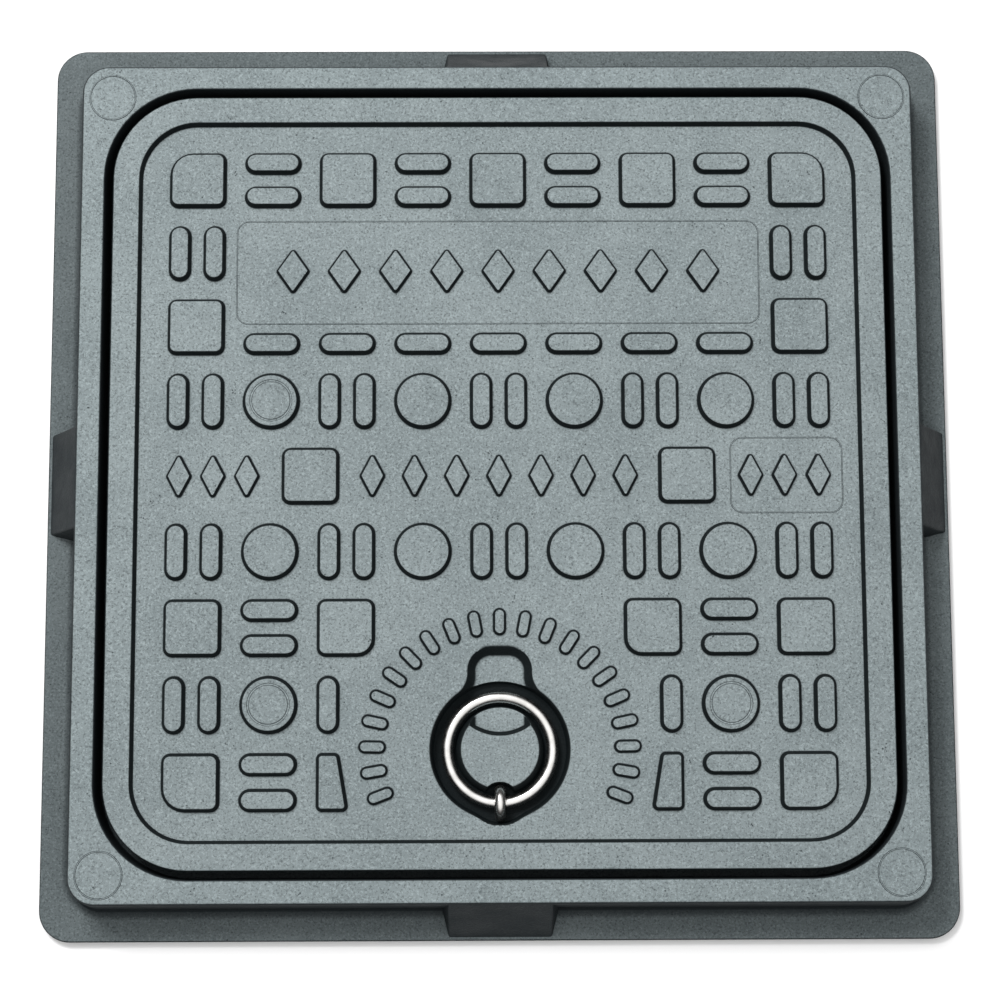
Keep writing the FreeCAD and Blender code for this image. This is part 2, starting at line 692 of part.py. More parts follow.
def cut_underside(body):
    """Cells between the ribs, with a solid boss under the keyhole and a pocket for the plate."""
    count = int(size("cell_count"))
    inside = size("cover_size") - 2 * size("rim_wall")
    pitch = inside / count
    side = pitch - size("rib_thickness")
    boss_reach = size("recess_radius") + size("rib_thickness")
    boss_far = size("slot_end") - size("rib_thickness")
    cells = new_sketch(body, "rib_cells", "cover_base")
    for row in range(count):
        for column in range(count):
            x = (column - (count - 1) / 2) * pitch
            y = (row - (count - 1) / 2) * pitch
            beside = abs(x) - side / 2 >= boss_reach
            beyond = y - side / 2 >= -boss_far
            if not (beside or beyond):
                continue
            corner_x = 1 if column == count - 1 else -1 if column == 0 else 0
            corner_y = 1 if row == count - 1 else -1 if row == 0 else 0
            radii = [size("cell_corner")] * 4
            order = ((-1, -1), (1, -1), (1, 1), (-1, 1))
            if corner_x and corner_y:
                radii[order.index((corner_x, corner_y))] = side * 0.7
            add_box_outline(cells, (x, y), side, side, radii)
    pocket(body, cells, "cell_depth", up=True)

    seat = new_sketch(body, "plate_pocket", "cover_base")
    margin = size("plate_clearance")
    add_box_outline(seat, (0, -size("hinge_distance")), size("plate_length") + 2 * margin,
                    size("plate_width") + 2 * margin, [size("plate_corner") + margin] * 4)
    pocket(body, seat, "plate_pocket_depth", up=True)


def make_ring():
    ring = doc.addObject("Part::Torus", "lifting_ring")
    ring.Label = "lifting_ring"
    bind(ring, "Radius1", "ring_radius")
    bind(ring, "Radius2", "ring_wire_radius")
    bind(ring, "Placement.Base.y", "0 - ring_distance")
    bind(ring, "Placement.Base.z", "hinge_level")
    return ring


def make_staple():
    """U staple: its bend is concentric with the ring's wire and its legs point down."""
    body = new_body("ring_staple")
    path = new_sketch(body, "staple_path", "0", "YZ_Plane")
    hinge = Vector(-size("hinge_distance"), size("hinge_level"), 0)
    bend = Vector(size("staple_bend"), 0, 0)
    drop = Vector(0, size("hinge_level") - size("leg_end"), 0)
    crown = hinge + Vector(0, size("staple_bend"), 0)
    path.addGeometry(Part.LineSegment(hinge - bend - drop, hinge - bend))
    path.addGeometry(Part.Arc(hinge - bend, crown, hinge + bend))
    path.addGeometry(Part.LineSegment(hinge + bend, hinge + bend - drop))
    profile = new_sketch(body, "staple_section", "leg_end")
    add_circle(profile, "leg_radius", "hinge_distance + staple_bend")
    pipe = body.newObject("PartDesign::AdditivePipe", "staple_pipe")
    pipe.Profile = profile
    pipe.Spine = path
    doc.recompute()
    return body


def make_plate():
    body = new_body("staple_backing_plate")
    sketch = new_sketch(body, "plate_outline")
    add_rounded_square(sketch, "plate_length", "plate_corner", "plate_width")
    pad(body, sketch, "plate_thickness")
    holes = new_sketch(body, "plate_holes", "plate_thickness")
    for side in ("staple_bend", "0 - staple_bend"):
        add_circle(holes, "leg_radius + leg_clearance", side)
    pocket(body, holes, "plate_thickness")
    bind(body, "Placement.Base.y", "0 - hinge_distance")
    bind(body, "Placement.Base.z", "plate_base")
    return body


def place_on_leg(body, side, level):
    """Put a body on the inner (-1) or outer (1) leg of the staple, at a level."""
    sign = "+" if side > 0 else "-"
    bind(body, "Placement.Base.y", f"0 - ( hinge_distance {sign} staple_bend )")
    bind(body, "Placement.Base.z", level)


def make_washer(label, side):
    """Spring washer: a flat ring with one slanted slit."""
    body = new_body(label)
    ring = new_sketch(body, label + "_ring")
    add_circle(ring, "washer_radius")
    add_circle(ring, "leg_radius + thread_clearance")
    pad(body, ring, "washer_thickness")
    slit = new_sketch(body, label + "_slit", "0", "XZ_Plane")
    half = size("washer_slit") / 2
    thick = size("washer_thickness")
    lean = size("washer_slant")
    add_polygon(slit, ((-half - lean, 0), (half - lean, 0),
                       (half + lean, thick), (-half + lean, thick)))
    cut = body.newObject("PartDesign::Pocket", label + "_slit_cut")
    cut.Profile = slit
    cut.Reversed = side < 0
    bind(cut, "Length", "washer_radius")
    doc.recompute()
    place_on_leg(body, side, "washer_base")
    return body


def make_nut(label, side):
    """Hexagon nut with its corners turned off at both ends."""
    body = new_body(label)
    hexagon = new_sketch(body, label + "_hexagon")
    flat = size("nut_flats") / 2
    corner = flat / math.cos(math.pi / 6)
    add_polygon(hexagon, [(corner * math.cos(math.radians(60 * i)),
                           corner * math.sin(math.radians(60 * i))) for i in range(6)])
    pad(body, hexagon, "nut_height")
    bore = new_sketch(body, label + "_bore", "nut_height")
    add_circle(bore, "leg_radius + thread_clearance")
    pocket(body, bore, "nut_height")
    turned = new_sketch(body, label + "_turned", "0", "XZ_Plane")
    beyond = 2 * corner - flat
    drop = (beyond - flat) * math.tan(math.radians(size("nut_chamfer")))
    for base, rise in ((0, drop), (size("nut_height"), -drop)):
        add_polygon(turned, ((flat, base), (beyond, base), (beyond, base + rise)))
    groove = body.newObject("PartDesign::Groove", label + "_corners")
    groove.Profile = turned
    groove.ReferenceAxis = (turned, ["V_Axis"])
    groove.Angle = 360
    doc.recompute()
    place_on_leg(body, side, "nut_base")
    return body


def check_document(parts):
    """Stop if any object failed, or any part is missing or not a valid solid."""
    for item in doc.Objects:
        if "Invalid" in item.State or "Error" in item.State:
            raise RuntimeError(f"{item.Name} failed: {item.State}")
    for part in parts:
        shape = part.Shape
        if shape.isNull() or not shape.isValid() or len(shape.Solids) != 1:
            raise RuntimeError(f"{part.Label} is not one valid solid: {len(shape.Solids)}")


def main():
    fill_sheet()
    parts = [make_frame(), make_seal(), make_cover(), make_ring(), make_staple(), make_plate()]
    for place, side in (("inner", -1), ("outer", 1)):
        parts.append(make_washer(f"staple_washer_{place}", side))
        parts.append(make_nut(f"staple_nut_{place}", side))
    doc.recompute()
    check_document(parts)
    os.makedirs("parts", exist_ok=True)
    for part in parts:
        part.Shape.exportStep(f"parts/{part.Label}.step")
        print(part.Label, round(part.Shape.Volume), part.Shape.BoundBox)


main()
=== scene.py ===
"""Looks of the square inspection cover, its frame and its lifting ring.

The two mouldings, the ring and its staple get finer meshes with rounded edges, built
from the same sizes as the design. The other pieces are the design's own, with better
materials. Lengths in this script are millimetres until mesh_object() makes metres.
"""
import math

import bmesh
import bpy
import numpy as np
from mathutils import Matrix, Vector, geometry


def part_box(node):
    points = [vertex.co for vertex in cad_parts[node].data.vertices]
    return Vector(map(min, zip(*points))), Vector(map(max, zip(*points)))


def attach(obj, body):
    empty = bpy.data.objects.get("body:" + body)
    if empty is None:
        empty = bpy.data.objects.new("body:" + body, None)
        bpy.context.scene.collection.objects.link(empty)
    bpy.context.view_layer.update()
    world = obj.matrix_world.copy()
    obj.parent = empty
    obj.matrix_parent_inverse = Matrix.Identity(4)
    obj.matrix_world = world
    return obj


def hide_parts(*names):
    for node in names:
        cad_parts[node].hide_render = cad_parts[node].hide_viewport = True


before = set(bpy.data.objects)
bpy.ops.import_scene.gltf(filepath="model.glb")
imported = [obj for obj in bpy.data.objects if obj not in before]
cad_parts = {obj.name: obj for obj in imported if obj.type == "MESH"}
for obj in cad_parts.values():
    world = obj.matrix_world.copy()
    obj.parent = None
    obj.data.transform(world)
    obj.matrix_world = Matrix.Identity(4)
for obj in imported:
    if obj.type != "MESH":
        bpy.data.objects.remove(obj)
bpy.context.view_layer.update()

MM = 0.001
QUARTER = math.pi / 2


def box_mm(node):
    """Lowest and highest corner of a CAD node in millimetres."""
    low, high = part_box(node)
    return [c / MM for c in low], [c / MM for c in high]


FRAME_LOW, FRAME_HIGH = box_mm("frame")
COVER_LOW, COVER_HIGH = box_mm("cover")
SEAL_LOW, SEAL_HIGH = box_mm("cover_seal")
RING_LOW, RING_HIGH = box_mm("lifting_ring")
STAPLE_LOW, STAPLE_HIGH = box_mm("ring_staple")
PLATE_LOW, PLATE_HIGH = box_mm("staple_backing_plate")

# Cover
TOP = COVER_HIGH[2]
COVER_BASE = COVER_LOW[2]
COVER_HALF = COVER_HIGH[0]
COVER_CORNER = 35
RIM_WIDTH = 11.2
FIELD_HALF = COVER_HALF - RIM_WIDTH
FIELD_CORNER = 24
TREAD_HEIGHT = 3
FIELD = TOP - TREAD_HEIGHT
DRAFT = math.tan(math.radians(18))
TREAD_SIZE = 23.4
TREAD_MARGIN = 12.7
TREAD_CROWN = 0.7
MIDDLE_SQUARE_PLACE = 77.7
PITCH = (FIELD_HALF - TREAD_MARGIN - TREAD_SIZE / 2) / 4
PILL_WIDTH = 9
PILL_SHIFT = (TREAD_SIZE - PILL_WIDTH) / 2
MARK_HEIGHT = 2
MARK_CROWN = 0.4
PANEL_ROW = 86.5
SMALL_PANEL_PLACE = 118
RIDGE_WIDTH = 0.5
RIDGE_HEIGHT = 0.22
CELL_DEPTH = 10
CELL_COUNT = 9
RIB = 4
RIM_WALL = 10

# Ring, staple and keyhole
RING_WIRE = RING_HIGH[2] - RING_LOW[2]
RING_RADIUS = (RING_HIGH[0] - RING_LOW[0] - RING_WIRE) / 2
RING_Y = (RING_LOW[1] + RING_HIGH[1]) / 2
RING_Z = (RING_LOW[2] + RING_HIGH[2]) / 2
HINGE_Y = RING_Y - RING_RADIUS
STAPLE_WIRE = STAPLE_HIGH[0] - STAPLE_LOW[0]
STAPLE_BEND = (STAPLE_HIGH[1] - STAPLE_LOW[1] - STAPLE_WIRE) / 2
GROOVE_FLOOR = RING_Z - RING_WIRE / 2 - 0.8
RECESS_RADIUS = RING_RADIUS + RING_WIRE / 2 + 4.3
RECESS_LEAN = 1.8
ISLAND_RADIUS = RING_RADIUS - RING_WIRE / 2 - 2.9
ISLAND_LEAN = 2
ISLAND_DROP = 1
SLOT_HALF = 13.1
SLOT_CORNER = 9.5
SLOT_DEPTH = 5.5
SLOT_SLOPE = math.tan(math.radians(28))
SLOT_END = RING_Y + RING_RADIUS + RING_WIRE / 2 + 17.8
SCOOP_END = RING_Y + RING_RADIUS - RING_WIRE / 2 - 13.6
SCOOP_BOW = 4.6
SCOOP_STEEPNESS = 2
WELL_RADIUS = STAPLE_BEND + STAPLE_WIRE / 2 + 0.75
WELL_LEAN = 0.7
WELL_FILLET = 5
NECK_FILLET = 6

# Frame
FLANGE_HALF = FRAME_HIGH[0]
FLANGE_CORNER = 13
FLANGE_THICKNESS = 5
FLANGE_WIDTH = 15.5
COLLAR_HALF = FLANGE_HALF - FLANGE_WIDTH
COLLAR_CORNER = 11
COLLAR_DRAFT = math.tan(math.radians(5))
COLLAR_WALL = 10
OPENING_HALF = COLLAR_HALF - COLLAR_WALL
OPENING_CORNER = COVER_CORNER + OPENING_HALF - COVER_HALF
SEAT = 11.5
CLEAR_HALF = 150
CLEAR_CORNER = 24
GUSSET_HALF = 21.25
GUSSET_SPREAD = 5
GUSSET_TOE = 2
CORE_COUNT = 10
CORE_WALL = 4
CORE_DEPTH = 5
SEAL_GROOVE_WIDTH = 8.6
SEAL_CLEARANCE = 0.3
EJECTOR_PLACES = [(sign * 161.8, y) for sign in (-1, 1) for y in (161, -162.5)]
EJECTOR_RADIUS = 9.5

# Light: the ceiling is bright overhead and falls off between two heights of the sky
CEILING_LIGHT = 1.45
WALL_LIGHT = 0.05
DARK_BELOW = 0.4
BRIGHT_ABOVE = 0.97


# ---------------------------------------------------------------- outlines and profiles

def rounded(points, radii):
    """Anticlockwise polygon with a radius at each corner, as arcs (x, y, radius, start, end)."""
    arcs = []
    count = len(points)
    for i, radius in enumerate(radii):
        here = Vector(points[i])
        before = (here - Vector(points[i - 1])).normalized()
        after = (Vector(points[(i + 1) % count]) - here).normalized()
        start = math.atan2(-before.x, before.y)
        turn = math.atan2(before.x * after.y - before.y * after.x, before.dot(after))
        back = radius * math.tan(turn / 2)
        centre = here - before * back + Vector((-before.y, before.x)) * radius
        arcs.append((centre.x, centre.y, radius, start, start + turn))
    return arcs


def box_outline(x, y, width, depth, radii):
    """Rectangle about a centre; the radii run anticlockwise from its lower left corner."""
    points = [(x + sx * width / 2, y + sy * depth / 2)
              for sx, sy in ((-1, -1), (1, -1), (1, 1), (-1, 1))]
    return rounded(points, radii)


def square_outline(half, corner):
    return box_outline(0, 0, 2 * half, 2 * half, [corner] * 4)


def circle_outline(x, y, radius):
    return [(x, y, radius, QUARTER * i, QUARTER * (i + 1)) for i in range(4)]


def pill_outline(x, y, angle, length, width):
    """Pill whose long way lies at an angle."""
    radius = width / 2
    reach = length / 2 - radius
    arcs = []
    for turn in (-1, 0, 1, 2):
        sign = 1 if turn < 1 else -1
        start = angle + turn * QUARTER
        arcs.append((x + sign * reach * math.cos(angle), y + sign * reach * math.sin(angle),
                     radius, start, start + QUARTER))
    return arcs


def loop(arcs, offset, steps):
    """Points round an outline grown by an offset; every offset gives the same number of points."""
    points = []
    for x, y, radius, start, end in arcs:
        reach = max(radius + offset, 0.02)
        for k in range(steps + 1):
            angle = start + (end - start) * k / steps
            points.append((x + reach * math.cos(angle), y + reach * math.sin(angle)))
    return points


def rounded_profile(points, radii, steps=4):
    """Open line of (offset, height) points with its inner corners rounded."""
    line = [points[0]]
    for i, radius in enumerate(radii, start=1):
        here = Vector(points[i])
        inward = (Vector(points[i - 1]) - here).normalized()
        outward = (Vector(points[i + 1]) - here).normalized()
        half_angle = inward.angle(outward) / 2
        back = radius / math.tan(half_angle)
        centre = here + (inward + outward).normalized() * (radius / math.sin(half_angle))
        first = here + inward * back - centre
        last = here + outward * back - centre
        total = first.angle(last)
        for k in range(steps + 1):
            share = k / steps
            spoke = (first * math.sin((1 - share) * total)
                     + last * math.sin(share * total)) / math.sin(total)
            line.append(tuple(centre + spoke))
    line.append(points[-1])
    return line


# ---------------------------------------------------------------- meshes

def add_loops(bm, loops):
    """Bands of faces between closed loops of 3-D points, each with the same count."""
    rows = [[bm.verts.new(p) for p in points] for points in loops]
    count = len(rows[0])
    for below, above in zip(rows, rows[1:]):
        for i in range(count):
            j = (i + 1) % count
            bm.faces.new((below[i], below[j], above[j], above[i]))


def sweep(bm, arcs, profile, steps, level=0.0):
    """Carry a profile of (offset, height) round an outline."""
    add_loops(bm, [[(x, y, level + z) for x, y in loop(arcs, offset, steps)]
                   for offset, z in profile])


def fill(bm, outer, holes, height, points=(), lines=(), facing=1):
    """Triangles inside an outer loop and outside the holes; height gives each point's z.

    Extra points and closed lines shape the triangles where the surface isn't flat.
    """
    corners = []
    faces = []
    edges = []
    for ring in [outer] + list(holes):
        start = len(corners)
        clean = [p for i, p in enumerate(ring) if math.dist(p, ring[i - 1]) > 1e-5]
        corners += clean
        faces.append(list(range(start, len(corners))))
    for line in lines:
        start = len(corners)
        corners += line
        edges += [(i, i + 1) for i in range(start, len(corners) - 1)]
        edges.append((len(corners) - 1, start))
    corners += points
    flat = [Vector(p) for p in corners]
    made = geometry.delaunay_2d_cdt(flat, edges, faces, 1, 1e-6)
    spots, triangles, sources = made[0], made[2], made[5]
    levels = height(np.array(spots))
    verts = {}
    for triangle, source in zip(triangles, sources):
        if source != [0]:
            continue
        corner = []
        for i in triangle[::facing]:
            if i not in verts:
                verts[i] = bm.verts.new((spots[i].x, spots[i].y, levels[i]))
            corner.append(verts[i])
        bm.faces.new(corner)


def flat_at(level):
    return lambda spots: np.full(len(spots), float(level))


def add_ridge(bm, arcs, width, height, steps, level):
    """Faint raised line that follows an outline on a flat face."""
    sunk = -0.3
    profile = [(width, sunk), (width * 0.6, 0), (width * 0.25, height), (-width * 0.25, height),
               (-width * 0.6, 0), (-width, sunk), (width, sunk)]
    sweep(bm, arcs, profile, steps, level)


def mesh_object(name, bm, weighted=True):
    """Finish a mesh made in millimetres and put it in the scene in metres."""
    bmesh.ops.remove_doubles(bm, verts=bm.verts, dist=2e-4)
    bmesh.ops.dissolve_degenerate(bm, edges=bm.edges, dist=1e-5)
    bmesh.ops.recalc_face_normals(bm, faces=bm.faces)
    bmesh.ops.scale(bm, vec=(MM, MM, MM), verts=bm.verts)
    mesh = bpy.data.meshes.new(name)
    bm.to_mesh(mesh)
    bm.free()
    mesh.shade_smooth()
    piece = bpy.data.objects.new(name, mesh)
    bpy.context.scene.collection.objects.link(piece)
    if weighted:
        even_shading(piece)
    return piece


def even_shading(piece):
    """Let the large flat faces set the shading, so that only the roundings turn."""
    modifier = piece.modifiers.new("even_shading", "WEIGHTED_NORMAL")
    modifier.mode = "FACE_AREA_WITH_ANGLE"
    modifier.weight = 90
    modifier.keep_sharp = True


# ---------------------------------------------------------------- treads and marks

def at_grid(column, row):
    return column * PITCH, row * PITCH


def square_treads():
    small, outer_corner, cut_corner = 3.5, 9.5, 7  # radii
    spots = [at_grid(column, 4) for column in (-2, 0, 2)]
    spots += [at_grid(column, row) for row in (-2, 2) for column in (-4, 4)]
    spots += [(sign * MIDDLE_SQUARE_PLACE, 0) for sign in (-1, 1)]
    shapes = [box_outline(x, y, TREAD_SIZE, TREAD_SIZE, [small] * 4) for x, y in spots]
    uneven = [(column, row, corner, outer_corner)
              for corner, (column, row) in enumerate(((-4, -4), (4, -4), (4, 4), (-4, 4)))]
    uneven += [(-2, -2, 1, cut_corner), (2, -2, 0, cut_corner)]
    for column, row, corner, radius in uneven:
        radii = [radius if i == corner else small for i in range(4)]
        shapes.append(box_outline(*at_grid(column, row), TREAD_SIZE, TREAD_SIZE, radii))
    return shapes


def wedge_treads():
    """The two treads beside the keyhole, wider at the foot than at the head."""
    shapes = []
    half = TREAD_SIZE / 2
    foot_width, corner = 13, 2.2
    for sign in (-1, 1):
        x, y = at_grid(2 * sign, -4)
        outer = x + sign * half
        points = [(outer, y - half), (outer, y + half), (outer - sign * PILL_WIDTH, y + half),
                  (outer - sign * foot_width, y - half)]
        if sign < 0:
            points.reverse()
        shapes.append(rounded(points, [corner] * 4))
    return shapes


def round_treads():
    spots = [(column, row) for row in (-1, 1) for column in (-3, -1, 1, 3)]
    spots += [(-3, -3), (3, -3)]
    return [circle_outline(*at_grid(*spot), TREAD_SIZE / 2) for spot in spots]


def pill_treads():
    upright = [(column, row) for row in (-1, 1) for column in (-4, -2, 0, 2, 4)]
    upright += [(column, row) for row in (-3, 3) for column in (-4, 4)]
    lying = [(column, 4) for column in (-3, -1, 1, 3)]
    lying += [(column, row) for row in (-2, -4) for column in (-3, 3)]
    spots = []
    for sign in (-1, 1):
        for column, row in upright:
            x, y = at_grid(column, row)
            spots.append((x + sign * PILL_SHIFT, y, QUARTER))
        for column, row in lying:
            x, y = at_grid(column, row)
            spots.append((x, y + sign * PILL_SHIFT, 0))
        x, y = at_grid(2 * sign, -3)
        spots.append((x + sign * PILL_SHIFT, y, QUARTER))
    for column in range(-3, 4):
        x, y = at_grid(column, 2)
        spots.append((x, y - PILL_SHIFT, 0))
    return [pill_outline(x, y, angle, TREAD_SIZE, PILL_WIDTH) for x, y, angle in spots]


def plain_marks():
    """Lozenges in the panel and the middle row, and the dial of pills round the keyhole."""
    half, corner = 10, 1.2
    # Each row: how many, its middle, the pitch and the width of a lozenge
    rows = [(9, 0, PANEL_ROW, 21.4, 14), (7, 0, 0, 17.4, 10.5)]
    rows += [(3, sign * SMALL_PANEL_PLACE, 0, 14, 10.5) for sign in (-1, 1)]
    shapes = []
    for count, middle, y, pitch, width in rows:
        for i in range(count):
            x = middle + (i - (count - 1) / 2) * pitch
            points = ((x, y - half), (x + width / 2, y), (x, y + half), (x - width / 2, y))
            shapes.append(rounded(points, [corner] * 4))
    dial_count, dial_sweep, dial_radius = 21, math.radians(222), 52
    length, width = 11, 5
    for i in range(dial_count):
        angle = QUARTER + (i / (dial_count - 1) - 0.5) * dial_sweep
        shapes.append(pill_outline(dial_radius * math.cos(angle),
                                   RING_Y + dial_radius * math.sin(angle), angle,
                                   length, width))
    return shapes


def add_stud(bm, arcs, height, crown, steps, ringed=False):
    """Raised tread or mark with a foot fillet, drafted walls and a rounded crown.

    A ringed one has a shallow groove round its top. Returns its foot, a hole in the field.
    """
    foot_reach, foot_round = 1.0, 1.2
    inset = height * DRAFT
    profile = rounded_profile(
        [(foot_reach, 0), (0, 0), (-inset, height), (-inset - 2 * crown, height)],
        [foot_round, crown], 4)[:-1]
    if ringed:
        edge = profile[-1][0]
        groove, middle = height - 0.35, height - 0.1
        profile += rounded_profile([(edge - 1.2, height), (edge - 1.6, groove),
                                    (edge - 2.1, groove), (edge - 2.5, middle),
                                    (edge - 3, middle)], [0.1] * 3, 1)
    sweep(bm, arcs, profile, steps, FIELD)
    offset, level = profile[-1]
    fill(bm, loop(arcs, offset, steps), [], flat_at(FIELD + level))
    return loop(arcs, foot_reach, steps)


# ---------------------------------------------------------------- keyhole

def ramp(distance, points, radii):
    """Height along a rounded profile, from the distance."""
    line = sorted(rounded_profile(points, radii, 6))
    return np.interp(distance, [p[0] for p in line], [p[1] for p in line])


def slot_inside(x, y):
    """How far inside the finger slot's outline a point lies."""
    bow_radius = (SLOT_HALF ** 2 + SCOOP_BOW ** 2) / (2 * SCOOP_BOW)
    across = np.abs(x) - (SLOT_HALF - SLOT_CORNER)
    along = y - (SLOT_END - SLOT_CORNER)
    far = (np.hypot(np.maximum(across, 0), np.maximum(along, 0))
           + np.minimum(np.maximum(across, along), 0) - SLOT_CORNER)
    bow = np.hypot(x, y - (SCOOP_END + bow_radius)) - bow_radius
    return -np.maximum(far, bow * SCOOP_STEEPNESS)


def keyhole_depth(x, y):
    """Depth of the keyhole below the field at points of the cover."""
    far = 80
    distance = np.hypot(x, y - RING_Y)
    full = FIELD - GROOVE_FLOOR
    island_crown, floor_round, recess_crown = 1.2, 0.9, 1.6
    recess = ramp(distance, [(-1, ISLAND_DROP), (ISLAND_RADIUS, ISLAND_DROP),
                             (ISLAND_RADIUS + ISLAND_LEAN, full),
                             (RECESS_RADIUS - RECESS_LEAN, full), (RECESS_RADIUS, 0), (far, 0)],
                  [island_crown, floor_round, floor_round, recess_crown])
    past_island = distance > ISLAND_RADIUS + ISLAND_LEAN + 2
    into_recess = RECESS_RADIUS - distance
    into_well = WELL_RADIUS - np.hypot(x, y - HINGE_Y)
    into_well = np.where(past_island, melt(into_well, into_recess, WELL_FILLET), into_well)
    well = ramp(into_well, [(-far, 0), (0, 0), (WELL_LEAN, full), (far, full)],
                [floor_round, floor_round])
    into_slot = slot_inside(x, y)
    into_slot = np.where(past_island, melt(into_slot, into_recess, NECK_FILLET), into_slot)
    slot_crown, slot_round = 1.0, 2.6
    slot = ramp(into_slot, [(-far, 0), (0, 0), (SLOT_DEPTH * SLOT_SLOPE, SLOT_DEPTH),
                            (far, SLOT_DEPTH)], [slot_crown, slot_round])
    crease = 1.0
    return soft_maximum(soft_maximum(recess, well, crease), slot, crease)


def melt(one, other, reach):
    """How far inside two joined outlines a point lies, with a fillet where they meet."""
    overlap = np.maximum(reach - np.abs(one - other), 0)
    return np.maximum(one, other) + overlap ** 2 / (4 * reach)


def soft_maximum(one, other, blend):
    """Larger of two depths, with the crease between them rounded off."""
    width = np.clip(np.minimum(one, other), 1e-6, blend)
    overlap = np.maximum(width - np.abs(one - other), 0)
    return np.maximum(one, other) + overlap ** 2 / (4 * width)


def add_keyhole(bm):
    """Keyhole surface, triangulated along its walls. Returns its outline in the field."""
    low_radius, high_radius = RECESS_RADIUS + 3.5, 17.2
    high_y = SLOT_END - high_radius + 2.4
    lean = math.asin((low_radius - high_radius) / (high_y - RING_Y))
    outline = [(0, RING_Y, low_radius, math.pi - lean, 2 * math.pi + lean),
               (0, high_y, high_radius, lean, math.pi - lean)]
    outer = loop(outline, 0, 48)
    # Round walls: place, radius, how far the loops reach inwards and outwards, steps
    bands = ((RING_Y, RECESS_RADIUS, -2.6, 1.3, 120), (RING_Y, ISLAND_RADIUS, -1.4, 3.2, 80),
             (HINGE_Y, WELL_RADIUS, -1.7, 1.1, 50))
    loop_pitch, coarse, fine = 0.28, 1.1, 0.37
    lines = []
    for middle, radius, low, high, steps in bands:
        for offset in np.arange(low, high, loop_pitch):
            lines.append(loop(circle_outline(0, middle, radius), offset, steps))

    def between_bands(x, y):
        clear = all(not low - 0.2 < math.hypot(x, y - middle) - radius < high + 0.2
                    for middle, radius, low, high, _ in bands)
        return clear and (math.hypot(x, y - RING_Y) < low_radius - 0.5
                          or math.hypot(x, y - high_y) < high_radius - 0.5)

    fine_squares = (((SLOT_END + SCOOP_END - SCOOP_BOW) / 2, 19), (HINGE_Y - WELL_RADIUS, 13))
    points = [(x, y) for x, y in grid_points(RING_Y + 5, 40, coarse)
              if all(max(abs(x), abs(y - middle)) > half + 0.3 for middle, half in fine_squares)]
    for middle, half in fine_squares:
        points += grid_points(middle, half, fine)
    points = [spot for spot in points if between_bands(*spot)]

    def height(spots):
        return FIELD - keyhole_depth(spots[:, 0], spots[:, 1])

    fill(bm, outer, [], height, points, lines)
    return outer


def grid_points(middle, half, step):
    """Square of evenly spaced points about a place on the Y axis."""
    steps = np.arange(-half, half, step)
    return [(x, middle + y) for x in steps for y in steps]


# ---------------------------------------------------------------- cover

def make_cover():
    """Rim, sunken field with its treads and marks, keyhole and ribbed underside."""
    bm = bmesh.new()
    fine = 14
    rim = square_outline(COVER_HALF, COVER_CORNER)
    inner = square_outline(FIELD_HALF, FIELD_CORNER)
    foot = TREAD_HEIGHT * DRAFT
    outer_profile = rounded_profile(
        [(-1.5, COVER_BASE), (0, COVER_BASE), (0, TOP), (-3, TOP)], [0.4, 1.0], 4)
    inner_profile = rounded_profile(
        [(2.5, TOP), (0, TOP), (-foot, FIELD), (-foot - 1.2, FIELD)], [0.9, 0.8], 4)
    loops = [[(x, y, z) for x, y in loop(rim, offset, fine)] for offset, z in outer_profile]
    loops += [[(x, y, z) for x, y in loop(inner, offset, fine)] for offset, z in inner_profile]
    add_loops(bm, loops)
    holes = []
    for arcs in square_treads() + wedge_treads():
        holes.append(add_stud(bm, arcs, TREAD_HEIGHT, TREAD_CROWN, 6))
    ringed_spots = [at_grid(*spot) for spot in ((-3, 1), (-3, -3), (3, -3))]
    for arcs in round_treads():
        ringed = any(math.dist(arcs[0][:2], spot) < 1 for spot in ringed_spots)
        holes.append(add_stud(bm, arcs, TREAD_HEIGHT, TREAD_CROWN, 10, ringed))
    for arcs in pill_treads():
        holes.append(add_stud(bm, arcs, TREAD_HEIGHT, TREAD_CROWN, 7))
    for arcs in plain_marks():
        holes.append(add_stud(bm, arcs, MARK_HEIGHT, MARK_CROWN, 5))
    holes.append(add_keyhole(bm))
    fill(bm, loop(inner, inner_profile[-1][0], fine), holes, flat_at(FIELD))
    for panel in ((0, 86.1, 218, 43.8), (118.9, 0, 46.2, 31.3)):
        add_ridge(bm, box_outline(*panel, [5] * 4), RIDGE_WIDTH, RIDGE_HEIGHT, 8, FIELD)
    fill_underside(bm, loop(rim, outer_profile[0][0], fine))
    piece = mesh_object("cover_moulding", bm)
    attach(piece, "cover")
    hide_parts("cover")
    return piece


def add_cell(bm, arcs, depth, steps, base):
    """Moulded pocket that opens downwards. Returns its mouth, a hole in the underside."""
    profile = rounded_profile([(0.6, 0), (0, 0), (-0.5, depth), (-3, depth)], [0.5, 0.9], 3)[:-1]
    sweep(bm, arcs, profile, steps, base)
    fill(bm, loop(arcs, profile[-1][0], steps), [], flat_at(base + depth), facing=-1)
    return loop(arcs, profile[0][0], steps)


